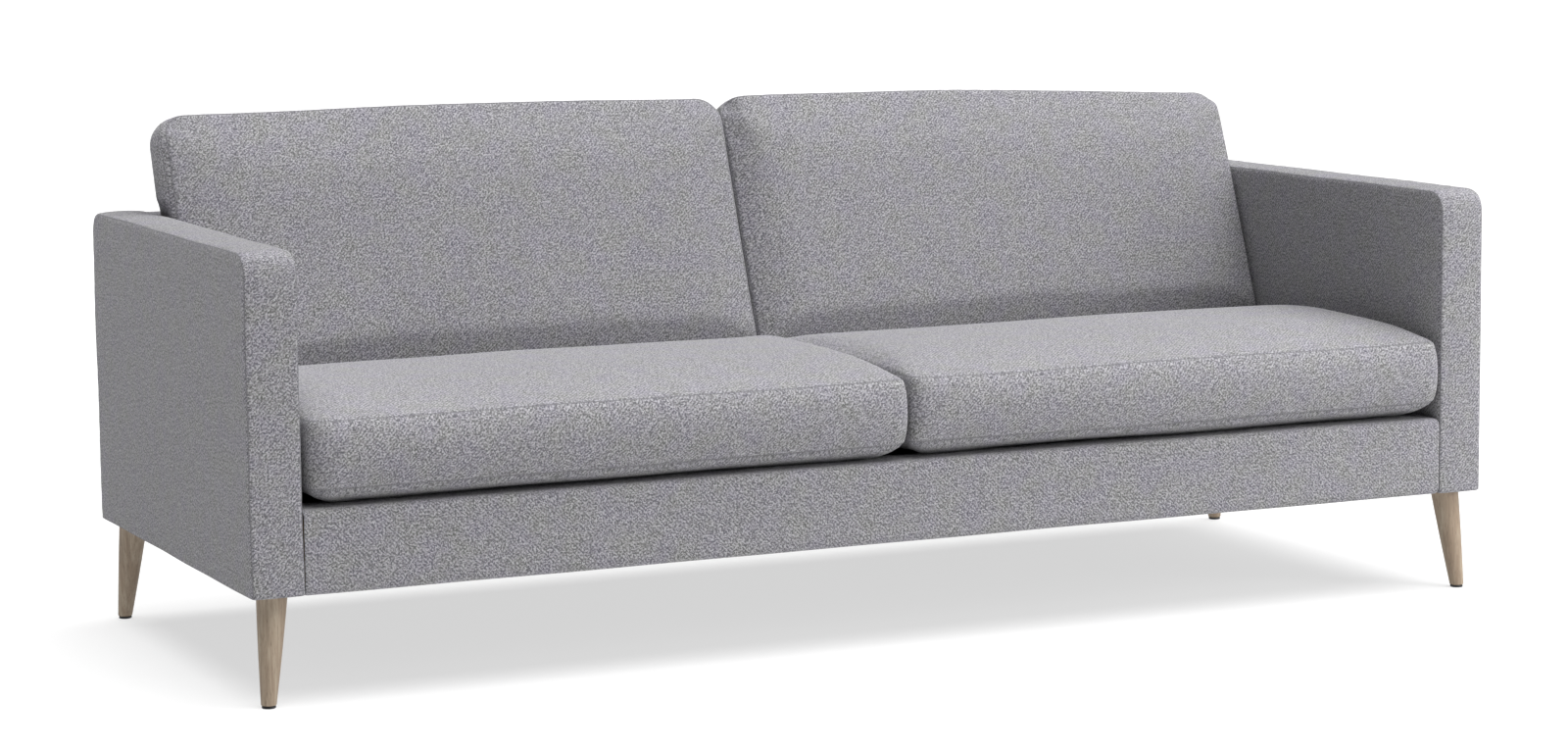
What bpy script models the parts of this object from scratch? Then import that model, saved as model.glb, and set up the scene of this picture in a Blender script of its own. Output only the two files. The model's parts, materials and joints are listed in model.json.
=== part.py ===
# A two-cushion, three-seat sofa: box arms, reclined loose back cushions, loose seat cushions,
# a sprung timber base, a low upholstered back frame and four splayed, tapered wooden legs.
# Units are metres. X runs along the sofa, -Y is the front, +Z is up, and the floor is at z = 0.
import math

import bmesh
import bpy
from mathutils import Matrix, Vector

# ---- driving dimensions ------------------------------------------------------------------------
WIDTH = 2.140            # outside of one arm to outside of the other
DEPTH = 0.840            # front of the arms to the rear of the back
ARM_TOP = 0.672
ARM_WIDTH = 0.084
ARM_CORNER = 0.036       # radius of the arm's upper corners, seen from the side
ARM_EDGE = 0.0035        # rounding of the arm cover's seams
BODY_BOTTOM = 0.168      # underside of the upholstered body, so also the legs' height
RAIL_TOP = 0.292         # top of the upholstered front rail and of the seat deck
SEAT_TOP = 0.446
SEAT_REAR = 0.136        # rear face of the seat cushions
BACK_TOP = 0.828
BACK_FRAME_TOP = 0.668
RECLINE = math.radians(21)
BACK_CUSHION_FRONT = 0.146   # where the back cushions' lower front stands, behind the seat
BACK_CUSHION_REAR = 0.188    # foot of the back cushions' rear face, at the seat deck
BACK_CUSHION_THICKNESS = 0.094
LEG_TOP_CENTRE = (1.026, 0.3765)
LEG_FOOT_CENTRE = (1.041, 0.395)
LEG_TOP_RADIUS = 0.0235
LEG_FOOT_RADIUS = 0.0115

GAP = 0.0004             # between pieces that touch
COVER = 0.003            # upholstery fabric with its wadding
PADDING = 0.010          # foam wrapped round the arm frames
BOARD = 0.003            # hardboard panels
TIMBER = 0.030           # thickness of the base rails and posts
TIMBER_BOTTOM = 0.178
TIMBER_TOP = 0.2790
WIRE = 0.0017            # radius of the spring wire
GLIDE = 0.004            # height of the glides under the legs
PLATE = 0.003            # leg mounting plates
BOLT_RADIUS = 0.004
ZIP_HEIGHT = 0.008
ZIP_LENGTH = 0.800
CUSHION_GAP = 0.0025     # half the gap between two neighbouring cushions
CUSHION_WALL = 0.0025    # cushion cover fabric

HALF_WIDTH = WIDTH / 2
HALF_DEPTH = DEPTH / 2
ARM_INSIDE = HALF_WIDTH - ARM_WIDTH
BODY_HALF = ARM_INSIDE - 0.001          # half the length of what stands between the arms
CUSHION_END = ARM_INSIDE - 0.0045
CUSHION_BOTTOM = RAIL_TOP + 0.001
LEAN = math.tan(RECLINE)
UP_BACK = Vector((0, math.sin(RECLINE), math.cos(RECLINE)))      # along the reclined back
SIDES = {"left": -1, "right": 1}


# ---- scene, materials and small helpers --------------------------------------------------------
for old in list(bpy.data.objects):
    bpy.data.objects.remove(old, do_unlink=True)

parts = bpy.data.collections.new("sofa")
cutters = bpy.data.collections.new("cutters")
bpy.context.scene.collection.children.link(parts)
bpy.context.scene.collection.children.link(cutters)


def make_material(name, colour, roughness, metallic=0.0):
    material = bpy.data.materials.new(name)
    material.use_nodes = True
    shader = material.node_tree.nodes["Principled BSDF"]
    shader.inputs["Base Color"].default_value = (*colour, 1)
    shader.inputs["Roughness"].default_value = roughness
    shader.inputs["Metallic"].default_value = metallic
    material.diffuse_color = (*colour, 1)
    return material


FABRIC = make_material("grey_woven_upholstery", (0.27, 0.27, 0.28), 0.95)
OAK = make_material("soaped_oak", (0.42, 0.34, 0.28), 0.55)
PINE = make_material("pine_timber", (0.62, 0.45, 0.26), 0.7)
FOAM = make_material("seat_foam", (0.80, 0.75, 0.60), 0.95)
HARDBOARD = make_material("hardboard", (0.27, 0.16, 0.08), 0.8)
STEEL = make_material("zinc_plated_steel", (0.60, 0.60, 0.62), 0.35, 1.0)
WEBBING = make_material("elastic_webbing", (0.10, 0.10, 0.11), 0.9)
LINING = make_material("black_lining", (0.03, 0.03, 0.03), 0.95)
ZIP_TAPE = make_material("zip_tape", (0.12, 0.12, 0.13), 0.8)
GLIDE_PLASTIC = make_material("glide_plastic", (0.05, 0.05, 0.05), 0.5)


def add_object(name, data, material, collection=None):
    part = bpy.data.objects.new(name, data)
    if material is not None:
        data.materials.append(material)
    (collection or parts).objects.link(part)
    return part


def make_cutter(part):
    part.hide_render = True
    part.display_type = "WIRE"
    return part


def cube_mesh(name, low, high):
    low, high = Vector(low), Vector(high)
    bm = bmesh.new()
    bmesh.ops.create_cube(bm, size=1)
    bm.transform(Matrix.Diagonal((*(high - low), 1)))
    mesh = bpy.data.meshes.new(name)
    bm.to_mesh(mesh)
    bm.free()
    return mesh, (low + high) / 2


def box(name, low, high, material, radius=0.0, segments=2, collection=None):
    """A block between two corners, with its origin at its centre and its edges rounded."""
    mesh, centre = cube_mesh(name, low, high)
    part = add_object(name, mesh, material, collection)
    part.location = centre
    if radius:
        round_edges(part, radius, segments)
    return part


def round_edges(part, radius, segments=2, angle=50):
    bevel = part.modifiers.new("Bevel", "BEVEL")
    bevel.width = radius
    bevel.segments = segments
    bevel.limit_method = "ANGLE"
    bevel.angle_limit = math.radians(angle)
    return bevel


def give_wall(part, thickness):
    """Turns a surface into a shell whose outer face is the surface itself."""
    solidify = part.modifiers.new("Solidify", "SOLIDIFY")
    solidify.thickness = thickness
    solidify.offset = -1
    solidify.use_even_offset = True
    return solidify


def combine(part, other, operation):
    boolean = part.modifiers.new(operation.title(), "BOOLEAN")
    boolean.operation = operation
    boolean.object = other
    boolean.solver = "EXACT"
    return boolean


def arc(centre, radius, start, end, steps):
    """Points on an arc from one angle to another, in degrees."""
    angles = [math.radians(start + (end - start) * i / steps) for i in range(steps + 1)]
    return [(centre[0] + radius * math.cos(a), centre[1] + radius * math.sin(a)) for a in angles]


def profile_plate(name, outline, x_low, x_high, material, holes=()):
    """A flat outline in (y, z), with holes, extruded along X between two planes."""
    curve = bpy.data.curves.new(name, "CURVE")
    curve.dimensions = "2D"
    curve.fill_mode = "BOTH"
    curve.extrude = (x_high - x_low) / 2
    for loop in (outline, *holes):
        spline = curve.splines.new("POLY")
        spline.points.add(len(loop) - 1)
        for point, (y, z) in zip(spline.points, loop):
            point.co = (y, z, 0, 1)
        spline.use_cyclic_u = True
    plate = add_object(name, curve, material)
    plate.location = ((x_low + x_high) / 2, 0, 0)
    plate.rotation_euler = (math.radians(90), 0, math.radians(90))
    return plate


def to_mesh(curve_object, material):
    """Replaces a curve object by the mesh it makes, with its caps welded."""
    bpy.context.view_layer.update()
    name = curve_object.name
    evaluated = curve_object.evaluated_get(bpy.context.evaluated_depsgraph_get())
    mesh = bpy.data.meshes.new_from_object(evaluated)
    bm = bmesh.new()
    bm.from_mesh(mesh)
    bmesh.ops.remove_doubles(bm, verts=bm.verts, dist=0.00005)
    bmesh.ops.recalc_face_normals(bm, faces=bm.faces)
    bm.to_mesh(mesh)
    bm.free()
    matrix = curve_object.matrix_world.copy()
    bpy.data.objects.remove(curve_object)
    mesh.materials.clear()
    part = add_object(name, mesh, material)
    part.matrix_world = matrix
    return part


def bent_sheet(name, profile, inside, x_low, x_high, wall, material):
    """A sheet of the given (y, z) profile along X, whose wall grows towards the inside point."""
    bm = bmesh.new()
    start = [bm.verts.new((x_low, y, z)) for y, z in profile]
    edges = [bm.edges.new(pair) for pair in zip(start, start[1:])]
    swept = bmesh.ops.extrude_edge_only(bm, edges=edges)
    moved = [v for v in swept["geom"] if isinstance(v, bmesh.types.BMVert)]
    bmesh.ops.translate(bm, verts=moved, vec=(x_high - x_low, 0, 0))
    bmesh.ops.recalc_face_normals(bm, faces=bm.faces)
    centre = Vector(((x_low + x_high) / 2, *inside))
    if sum(f.normal.dot(f.calc_center_median() - centre) * f.calc_area() for f in bm.faces) < 0:
        bmesh.ops.reverse_faces(bm, faces=bm.faces)
    mesh = bpy.data.meshes.new(name)
    bm.to_mesh(mesh)
    bm.free()
    sheet = add_object(name, mesh, material)
    give_wall(sheet, wall)
    return sheet


def tube(name, points, radius, material, collection=None):
    """A round wire through the given points, closed at both ends."""
    curve = bpy.data.curves.new(name, "CURVE")
    curve.dimensions = "3D"
    curve.bevel_depth = radius
    curve.bevel_resolution = 2
    curve.use_fill_caps = True
    spline = curve.splines.new("POLY")
    spline.points.add(len(points) - 1)
    for target, point in zip(spline.points, points):
        target.co = (*point, 1)
    return add_object(name, curve, material, collection)


# ---- base: rails, springs, deck, front rail cover and dust cover -------------------------------
RAIL_FRONT = -HALF_DEPTH + COVER + 0.0025
RAIL_BACK = RAIL_FRONT + TIMBER
SPRING_RAIL_FRONT = 0.160
SPRING_RAIL_BACK = SPRING_RAIL_FRONT + TIMBER
BOTTOM_RAIL_BACK = HALF_DEPTH - 0.010
BOTTOM_RAIL_FRONT = BOTTOM_RAIL_BACK - TIMBER


def cross_rail(name, front, back):
    return box(name, (-BODY_HALF, front, TIMBER_BOTTOM), (BODY_HALF, back, TIMBER_TOP), PINE, 0.002, 1)


cross_rail("seat_front_rail", RAIL_FRONT, RAIL_BACK)
cross_rail("seat_rear_rail", SPRING_RAIL_FRONT, SPRING_RAIL_BACK)
cross_rail("back_bottom_rail", BOTTOM_RAIL_FRONT, BOTTOM_RAIL_BACK)

for rail_name, rail_x in (("seat_left_rail", -BODY_HALF + TIMBER / 2), ("seat_centre_rail", 0.0),
                          ("seat_right_rail", BODY_HALF - TIMBER / 2)):
    box(rail_name, (rail_x - TIMBER / 2, RAIL_BACK + GAP, TIMBER_BOTTOM),
        (rail_x + TIMBER / 2, SPRING_RAIL_FRONT - GAP, TIMBER_TOP), PINE, 0.002, 1)

SPRING_COUNT = 4
SPRING_SPACING = 0.235
SPRING_HALF_WIDTH = 0.026
SPRING_BENDS = 6
SPRING_STEPS = 4         # straight lengths of wire in each full bend
SPRING_SAG = 0.012
SPRING_LEVEL = TIMBER_TOP + WIRE + GAP
LINK_POSITIONS = (0.34, 0.66)


def spring_point(centre_x, along):
    y_start = RAIL_FRONT + 0.008
    y_end = SPRING_RAIL_BACK - 0.008
    swing = math.sin(2 * math.pi * SPRING_BENDS * along)
    on_rail = 0.08
    inner = min(max((along - on_rail) / (1 - 2 * on_rail), 0), 1)
    x = centre_x + SPRING_HALF_WIDTH * swing
    return (x, y_start + (y_end - y_start) * along, SPRING_LEVEL - SPRING_SAG * math.sin(math.pi * inner))


def seat_springs(side):
    """One seat's zigzag springs, joined by two link wires that run across them."""
    name = side + "_seat_springs"
    first = BODY_HALF / 2 - SPRING_SPACING * (SPRING_COUNT - 1) / 2
    centres = [SIDES[side] * (first + SPRING_SPACING * i) for i in range(SPRING_COUNT)]
    steps = SPRING_BENDS * SPRING_STEPS
    wires = []
    for number, centre in enumerate(centres):
        points = [spring_point(centre, i / steps) for i in range(steps + 1)]
        wires.append(to_mesh(tube(name + "_wire" + str(number), points, WIRE, STEEL), STEEL))
    reach = SPRING_HALF_WIDTH + 0.006
    for number, along in enumerate(LINK_POSITIONS):
        middle = spring_point(0, along)
        ends = [(x, middle[1], middle[2]) for x in (min(centres) - reach, max(centres) + reach)]
        wires.append(to_mesh(tube(name + "_link" + str(number), ends, WIRE, STEEL), STEEL))
    springs = wires[0]
    springs.name = name
    springs.data.name = name
    for wire in wires[:0:-1]:
        parts.objects.unlink(wire)
        cutters.objects.link(make_cutter(wire))
        combine(springs, wire, "UNION")
    return springs


for side in SIDES:
    seat_springs(side)

DECK_FRONT = -0.345
DECK_BACK = 0.1925
DECK_CLOTH = 0.002
box("seat_deck_cloth", (-BODY_HALF, DECK_FRONT + GAP, RAIL_TOP - 0.0015 - DECK_CLOTH),
    (BODY_HALF, DECK_BACK, RAIL_TOP - 0.0015), LINING)

RAIL_COVER_RADIUS = 0.012
front_profile = [(DECK_FRONT, RAIL_TOP)]
front_profile += arc((-HALF_DEPTH + RAIL_COVER_RADIUS, RAIL_TOP - RAIL_COVER_RADIUS),
                     RAIL_COVER_RADIUS, 90, 180, 4)
front_profile += arc((-HALF_DEPTH + RAIL_COVER_RADIUS, BODY_BOTTOM + RAIL_COVER_RADIUS),
                     RAIL_COVER_RADIUS, 180, 270, 4)
front_profile += [(RAIL_FRONT + 0.022, BODY_BOTTOM)]
rail_middle = (RAIL_BACK, (BODY_BOTTOM + RAIL_TOP) / 2)
bent_sheet("front_rail_cover", front_profile, rail_middle, -BODY_HALF, BODY_HALF, COVER, FABRIC)

box("dust_cover", (-BODY_HALF, RAIL_FRONT + 0.024, BODY_BOTTOM + 0.0005),
    (BODY_HALF, HALF_DEPTH - 0.016, BODY_BOTTOM + 0.002), LINING)


# ---- legs: turned leg, hanger bolt, mounting plate and glide -----------------------------------
SPLAY = [(foot - top) / BODY_BOTTOM for top, foot in zip(LEG_TOP_CENTRE, LEG_FOOT_CENTRE)]
BOLT_BOTTOM = BODY_BOTTOM - 0.030
BOLT_TOP = BODY_BOTTOM + 0.036
BOLT_CLEARANCE = 0.0005


def splayed_cone(name, side, end, bottom, top, radii, sides, material, collection=None):
    """A cone with level ends whose axis follows the leg's splay; end is -1 in front, 1 behind."""
    sign = SIDES[side]
    bm = bmesh.new()
    bmesh.ops.create_cone(bm, cap_ends=True, segments=sides, radius1=radii[0], radius2=radii[1],
                          depth=top - bottom)
    lean = Matrix.Identity(4)
    lean[0][2] = -SPLAY[0] * sign
    lean[1][2] = -SPLAY[1] * end
    bm.transform(lean)
    mesh = bpy.data.meshes.new(name)
    bm.to_mesh(mesh)
    bm.free()
    cone = add_object(name, mesh, material, collection)
    height = (bottom + top) / 2
    below = BODY_BOTTOM - height
    cone.location = (sign * (LEG_TOP_CENTRE[0] + SPLAY[0] * below),
                     end * (LEG_TOP_CENTRE[1] + SPLAY[1] * below), height)
    mesh.shade_smooth()
    mesh.set_sharp_from_angle(angle=math.radians(40))
    return cone


def bolt_hole(side, end):
    """The drilling for one leg's bolt, through the leg's top, its plate and the arm frame."""
    name = "bolt_hole_" + side + ("_front" if end < 0 else "_rear")
    radius = BOLT_RADIUS + BOLT_CLEARANCE
    return make_cutter(splayed_cone(name, side, end, BOLT_BOTTOM - 0.002, BOLT_TOP + 0.030,
                                    (radius, radius), 16, None, cutters))


def leg_set(side, end, hole):
    prefix = ("front_" if end < 0 else "rear_") + side + "_"
    taper = (LEG_TOP_RADIUS - LEG_FOOT_RADIUS) / BODY_BOTTOM
    leg = splayed_cone(prefix + "leg", side, end, GLIDE + GAP, BODY_BOTTOM - GAP,
                       (LEG_FOOT_RADIUS + taper * GLIDE, LEG_TOP_RADIUS), 32, OAK)
    round_edges(leg, 0.0012, 2, 60)
    combine(leg, hole, "DIFFERENCE")
    splayed_cone(prefix + "leg_bolt", side, end, BOLT_BOTTOM, BOLT_TOP, (BOLT_RADIUS, BOLT_RADIUS), 16,
                 STEEL)
    x, y = SIDES[side] * LEG_TOP_CENTRE[0], end * LEG_TOP_CENTRE[1]
    plate = box(prefix + "leg_plate", (x - 0.0235, y - 0.0245, BODY_BOTTOM),
                (x + 0.0235, y + 0.0245, BODY_BOTTOM + PLATE), STEEL)
    combine(plate, hole, "DIFFERENCE")
    glide_radius = LEG_FOOT_RADIUS - 0.0010
    glide = splayed_cone(prefix + "leg_glide", side, end, 0.0, GLIDE, (glide_radius, glide_radius), 24,
                         GLIDE_PLASTIC)
    round_edges(glide, 0.0010, 2, 60)


holes = {(side, end): bolt_hole(side, end) for side in SIDES for end in (-1, 1)}
for (side, end), hole in holes.items():
    leg_set(side, end, hole)


# ---- arms: timber frame, two hardboard panels, foam padding and fabric cover -------------------
def arm_shell(name, side, inset, wall, edge_radius, material):
    """The arm's outside, brought in by the inset and open underneath, as a shell."""
    inner, outer = ARM_INSIDE + inset, HALF_WIDTH - inset
    if SIDES[side] < 0:
        inner, outer = -outer, -inner
    low = (inner, -HALF_DEPTH + inset, BODY_BOTTOM)
    high = (outer, HALF_DEPTH - inset, ARM_TOP - inset)
    mesh, centre = cube_mesh(name, low, high)
    bm = bmesh.new()
    bm.from_mesh(mesh)
    bm.faces.ensure_lookup_table()
    bmesh.ops.delete(bm, geom=[f for f in bm.faces if f.normal.z < -0.5], context="FACES_ONLY")
    corners = [e for e in bm.edges if len(e.link_faces) == 2
               and all(abs(f.normal.x) < 0.5 for f in e.link_faces)]
    bmesh.ops.bevel(bm, geom=corners, offset=ARM_CORNER - inset, segments=6, affect="EDGES",
                    profile=0.5)
    if edge_radius:
        rims = [e for e in bm.edges if len(e.link_faces) == 2
                and e.calc_face_angle() > math.radians(60)]
        bmesh.ops.bevel(bm, geom=rims, offset=edge_radius, segments=2, affect="EDGES", profile=0.5)
    bm.to_mesh(mesh)
    bm.free()
    shell = add_object(name, mesh, material)
    shell.location = centre
    give_wall(shell, wall)
    return shell


def arm_outline(inset, bottom):
    """The arm's side view, brought in by the inset, with its two upper corners rounded."""
    radius = ARM_CORNER - inset
    y, z = HALF_DEPTH - ARM_CORNER, ARM_TOP - ARM_CORNER
    edge = HALF_DEPTH - inset
    return [(-edge, bottom), (edge, bottom)] + arc((y, z), radius, 0, 90, 5) + arc((-y, z), radius, 90, 180, 5)


FRAME_INSET = COVER + PADDING + 2 * GAP
FRAME_BOTTOM = BODY_BOTTOM + PLATE + GAP
FRAME_RAIL = 0.045
FRAME_WINDOWS = 3


def arm_set(side):
    sign = SIDES[side]
    arm_shell(side + "_arm_cover", side, 0, COVER, ARM_EDGE, FABRIC)
    arm_shell(side + "_arm_padding", side, COVER + GAP, PADDING, 0, FOAM)
    board_inset = FRAME_INSET + GAP
    outline = arm_outline(board_inset, FRAME_BOTTOM)
    for panel, face in (("outer", HALF_WIDTH - board_inset), ("inner", ARM_INSIDE + board_inset + BOARD)):
        ends = sorted((sign * face, sign * (face - BOARD)))
        profile_plate(side + "_arm_" + panel + "_panel", outline, *ends, HARDBOARD)
    inner = ARM_INSIDE + board_inset + BOARD + GAP
    outer = HALF_WIDTH - board_inset - BOARD - GAP
    ends = sorted((sign * inner, sign * outer))
    length = 2 * (HALF_DEPTH - board_inset) - FRAME_RAIL
    pitch = length / FRAME_WINDOWS
    low, high = FRAME_BOTTOM + FRAME_RAIL, ARM_TOP - board_inset - FRAME_RAIL
    windows = []
    for number in range(FRAME_WINDOWS):
        start = -length / 2 + pitch * number + FRAME_RAIL / 2
        end = start + pitch - FRAME_RAIL
        windows.append([(start, low), (end, low), (end, high), (start, high)])
    frame = to_mesh(profile_plate(side + "_arm_frame", outline, *ends, PINE, windows), PINE)
    for end in (-1, 1):
        combine(frame, holes[side, end], "DIFFERENCE")


for side in SIDES:
    arm_set(side)


# ---- back: posts, rails, webbing, rear panel and cover -----------------------------------------
COVER_FOOT = 0.1945      # where the back cover's front face meets the seat deck
POST_SETBACK = 0.008     # between the cover's front face and the posts
WEBBING_THICKNESS = 0.0015
TOP_RAIL_BOTTOM = 0.634


def back_front(z, behind=0.0):
    """How far back the reclined face of the back frame is at a height."""
    return COVER_FOOT + behind + (z - RAIL_TOP) * LEAN


def back_post(name, x):
    base = SPRING_RAIL_BACK + GAP
    rear = BOTTOM_RAIL_BACK
    step = TIMBER_TOP + 2 * GAP
    outline = [(base, TIMBER_BOTTOM), (BOTTOM_RAIL_FRONT - GAP, TIMBER_BOTTOM),
               (BOTTOM_RAIL_FRONT - GAP, step), (rear, step), (rear, TOP_RAIL_BOTTOM - GAP),
               (back_front(TOP_RAIL_BOTTOM, POST_SETBACK), TOP_RAIL_BOTTOM - GAP),
               (back_front(TIMBER_TOP, POST_SETBACK), TIMBER_TOP), (base, TIMBER_TOP)]
    profile_plate(name, outline, x - TIMBER / 2, x + TIMBER / 2, PINE)


for post_name, post_x in (("back_left_post", -BODY_HALF + TIMBER / 2), ("back_centre_post", 0.0),
                          ("back_right_post", BODY_HALF - TIMBER / 2)):
    back_post(post_name, post_x)

box("back_top_rail", (-BODY_HALF, back_front(BACK_FRAME_TOP, POST_SETBACK), TOP_RAIL_BOTTOM),
    (BODY_HALF, BOTTOM_RAIL_BACK, BACK_FRAME_TOP - COVER - 0.004), PINE, 0.003, 2)
box("back_panel", (-BODY_HALF, BOTTOM_RAIL_BACK + GAP, TIMBER_BOTTOM),
    (BODY_HALF, BOTTOM_RAIL_BACK + GAP + BOARD, BACK_FRAME_TOP - COVER - 0.010), HARDBOARD)

COVER_TOP_RADIUS = 0.016
top_front = back_front(BACK_FRAME_TOP)
lean_degrees = math.degrees(RECLINE)
front_reach = COVER_TOP_RADIUS * math.tan(math.radians(45) - RECLINE / 2)
back_profile = [(HALF_DEPTH - 0.014, BODY_BOTTOM)]
back_profile += arc((HALF_DEPTH - 0.010, BODY_BOTTOM + 0.010), 0.010, -90, 0, 3)
back_profile += arc((HALF_DEPTH - COVER_TOP_RADIUS, BACK_FRAME_TOP - COVER_TOP_RADIUS),
                    COVER_TOP_RADIUS, 0, 90, 4)
back_profile += arc((top_front + front_reach + 0.0002, BACK_FRAME_TOP - COVER_TOP_RADIUS),
                    COVER_TOP_RADIUS, 90, 180 - lean_degrees, 4)
back_profile += [(back_front(RAIL_TOP + 0.001), RAIL_TOP + 0.001)]
back_middle = (BOTTOM_RAIL_FRONT, (BODY_BOTTOM + BACK_FRAME_TOP) / 2)
bent_sheet("back_cover", back_profile, back_middle, -BODY_HALF, BODY_HALF, COVER, FABRIC)

WEB_ROWS = 4
WEB_COLUMNS = 7
WEB_BAND = 0.050
web_length = 2 * BODY_HALF - 0.010
web_height = 0.335


def back_webbing():
    """Woven bands stretched over the posts, as one flat lattice parallel to the reclined face."""
    curve = bpy.data.curves.new("back_webbing", "CURVE")
    curve.dimensions = "2D"
    curve.fill_mode = "BOTH"
    curve.extrude = WEBBING_THICKNESS / 2
    column_pitch = (web_length - WEB_BAND) / WEB_COLUMNS
    row_band = 0.036
    row_pitch = (web_height - row_band) / WEB_ROWS
    loops = [(-web_length / 2, web_length / 2, 0, web_height)]
    for column in range(WEB_COLUMNS):
        left = -web_length / 2 + WEB_BAND + column * column_pitch
        for row in range(WEB_ROWS):
            low = row_band + row * row_pitch
            loops.append((left, left + column_pitch - WEB_BAND, low, low + row_pitch - row_band))
    for left, right, low, high in loops:
        spline = curve.splines.new("POLY")
        spline.points.add(3)
        for point, (x, along) in zip(spline.points, ((left, low), (right, low), (right, high), (left, high))):
            point.co = (x, along, 0, 1)
        spline.use_cyclic_u = True
    webbing = add_object("back_webbing", curve, WEBBING)
    start = RAIL_TOP + 0.012
    webbing.location = (0, back_front(start, POST_SETBACK - 0.0016), start)
    webbing.rotation_euler = (math.radians(90) - RECLINE, 0, 0)


back_webbing()


# ---- cushions: fabric cover, foam core, zip and zip slider -------------------------------------
CORE_INSET = CUSHION_WALL + GAP
SEAT_EDGE_RADIUS = 0.024
BACK_EDGE_RADIUS = 0.014
SEAT_ZIP_LEVEL = 0.372
BACK_ZIP_ALONG = 0.060   # height of the back cushions' zips above their foot, along the recline
SLIDER_LENGTH = 0.016
SLIDER_THICKNESS = 0.0028


def side_ends(side, near, far):
    return sorted((SIDES[side] * near, SIDES[side] * far))


def zip_pieces(prefix, side, origin, up, out):
    """A zip lying in a cushion's slit, its slider on the outside, and the slit's cutter."""
    centre_x = SIDES[side] * (CUSHION_GAP + CUSHION_END) / 2
    turn = Matrix((up.cross(out), up, out)).transposed().to_4x4()

    def placed(name, low, high, material, collection=None, radius=0.0):
        """A block in the zip's own frame: (along the sofa, up the cushion's face, out of it)."""
        mesh, middle = cube_mesh(name, (-high[0], *low[1:]), (-low[0], *high[1:]))
        piece = add_object(name, mesh, material, collection)
        piece.matrix_world = Matrix.Translation(origin) @ turn @ Matrix.Translation(middle)
        if radius:
            round_edges(piece, radius, 1)
        return piece

    half = ZIP_LENGTH / 2
    deep = 2 * CUSHION_WALL
    slit = placed(prefix + "_zip_slit", (centre_x - half, -ZIP_HEIGHT / 2, -deep),
                  (centre_x + half, ZIP_HEIGHT / 2, deep), None, cutters)
    placed(prefix + "_zip", (centre_x - half + GAP, GAP - ZIP_HEIGHT / 2, -0.0020),
           (centre_x + half - GAP, ZIP_HEIGHT / 2 - GAP, -0.0005), ZIP_TAPE)
    start = centre_x - SIDES[side] * (half - 0.004)
    ends = sorted((start, start + SIDES[side] * SLIDER_LENGTH))
    placed(prefix + "_zip_slider", (ends[0], -0.0035, -0.0001), (ends[1], 0.0035, SLIDER_THICKNESS),
           STEEL, radius=0.0008)
    return make_cutter(slit)


def seat_cushion(side):
    prefix = side + "_seat_cushion"
    x_low, x_high = side_ends(side, CUSHION_GAP, CUSHION_END)
    low = Vector((x_low, -HALF_DEPTH + 0.0005, CUSHION_BOTTOM))
    high = Vector((x_high, SEAT_REAR, SEAT_TOP))
    inset = Vector((CORE_INSET,) * 3)
    box(prefix + "_core", low + inset, high - inset, FOAM, SEAT_EDGE_RADIUS - CORE_INSET, 3)
    cover = box(prefix + "_cover", low, high, FABRIC, SEAT_EDGE_RADIUS, 3)
    give_wall(cover, CUSHION_WALL)
    slit = zip_pieces(prefix, side, Vector((0, SEAT_REAR, SEAT_ZIP_LEVEL)), Vector((0, 0, 1)),
                      Vector((0, 1, 0)))
    combine(cover, slit, "DIFFERENCE")


def back_outline(inset):
    """The back cushion's side view: an upright lower front, a reclined slab and a round top."""
    half = BACK_CUSHION_THICKNESS / 2
    along = Vector((math.sin(RECLINE), math.cos(RECLINE)))
    forward = Vector((-math.cos(RECLINE), math.sin(RECLINE)))
    foot = Vector((BACK_CUSHION_REAR, CUSHION_BOTTOM))
    middle = foot + forward * half
    top = middle + along * ((BACK_TOP - half - middle.y) / along.y)
    radius = half - inset
    front = middle + forward * radius
    rear = foot + forward * inset
    bottom = CUSHION_BOTTOM + inset
    upright = BACK_CUSHION_FRONT + inset
    knee = front.y + (upright - front.x) / LEAN
    heel = rear.x + (bottom - rear.y) * LEAN
    dome = arc(top, radius, 180 - lean_degrees, -lean_degrees, 10)
    return [(upright, bottom), (upright, knee)] + dome + [(heel, bottom)]


def back_cushion(side):
    prefix = side + "_back_cushion"
    x_low, x_high = side_ends(side, CUSHION_GAP, CUSHION_END)
    core = to_mesh(profile_plate(prefix + "_core", back_outline(CORE_INSET), x_low + CORE_INSET,
                                 x_high - CORE_INSET, FOAM), FOAM)
    round_edges(core, BACK_EDGE_RADIUS - CORE_INSET, 2, 60)
    cover = to_mesh(profile_plate(prefix + "_cover", back_outline(0), x_low, x_high, FABRIC), FABRIC)
    round_edges(cover, BACK_EDGE_RADIUS, 2, 60)
    give_wall(cover, CUSHION_WALL)
    foot = Vector((0, BACK_CUSHION_REAR, CUSHION_BOTTOM))
    backward = Vector((0, math.cos(RECLINE), -math.sin(RECLINE)))
    slit = zip_pieces(prefix, side, foot + UP_BACK * BACK_ZIP_ALONG, UP_BACK, backward)
    combine(cover, slit, "DIFFERENCE")


for side in SIDES:
    seat_cushion(side)
    back_cushion(side)
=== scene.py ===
import json
import math
import bpy
import numpy as np
from mathutils import Matrix, Vector


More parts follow.
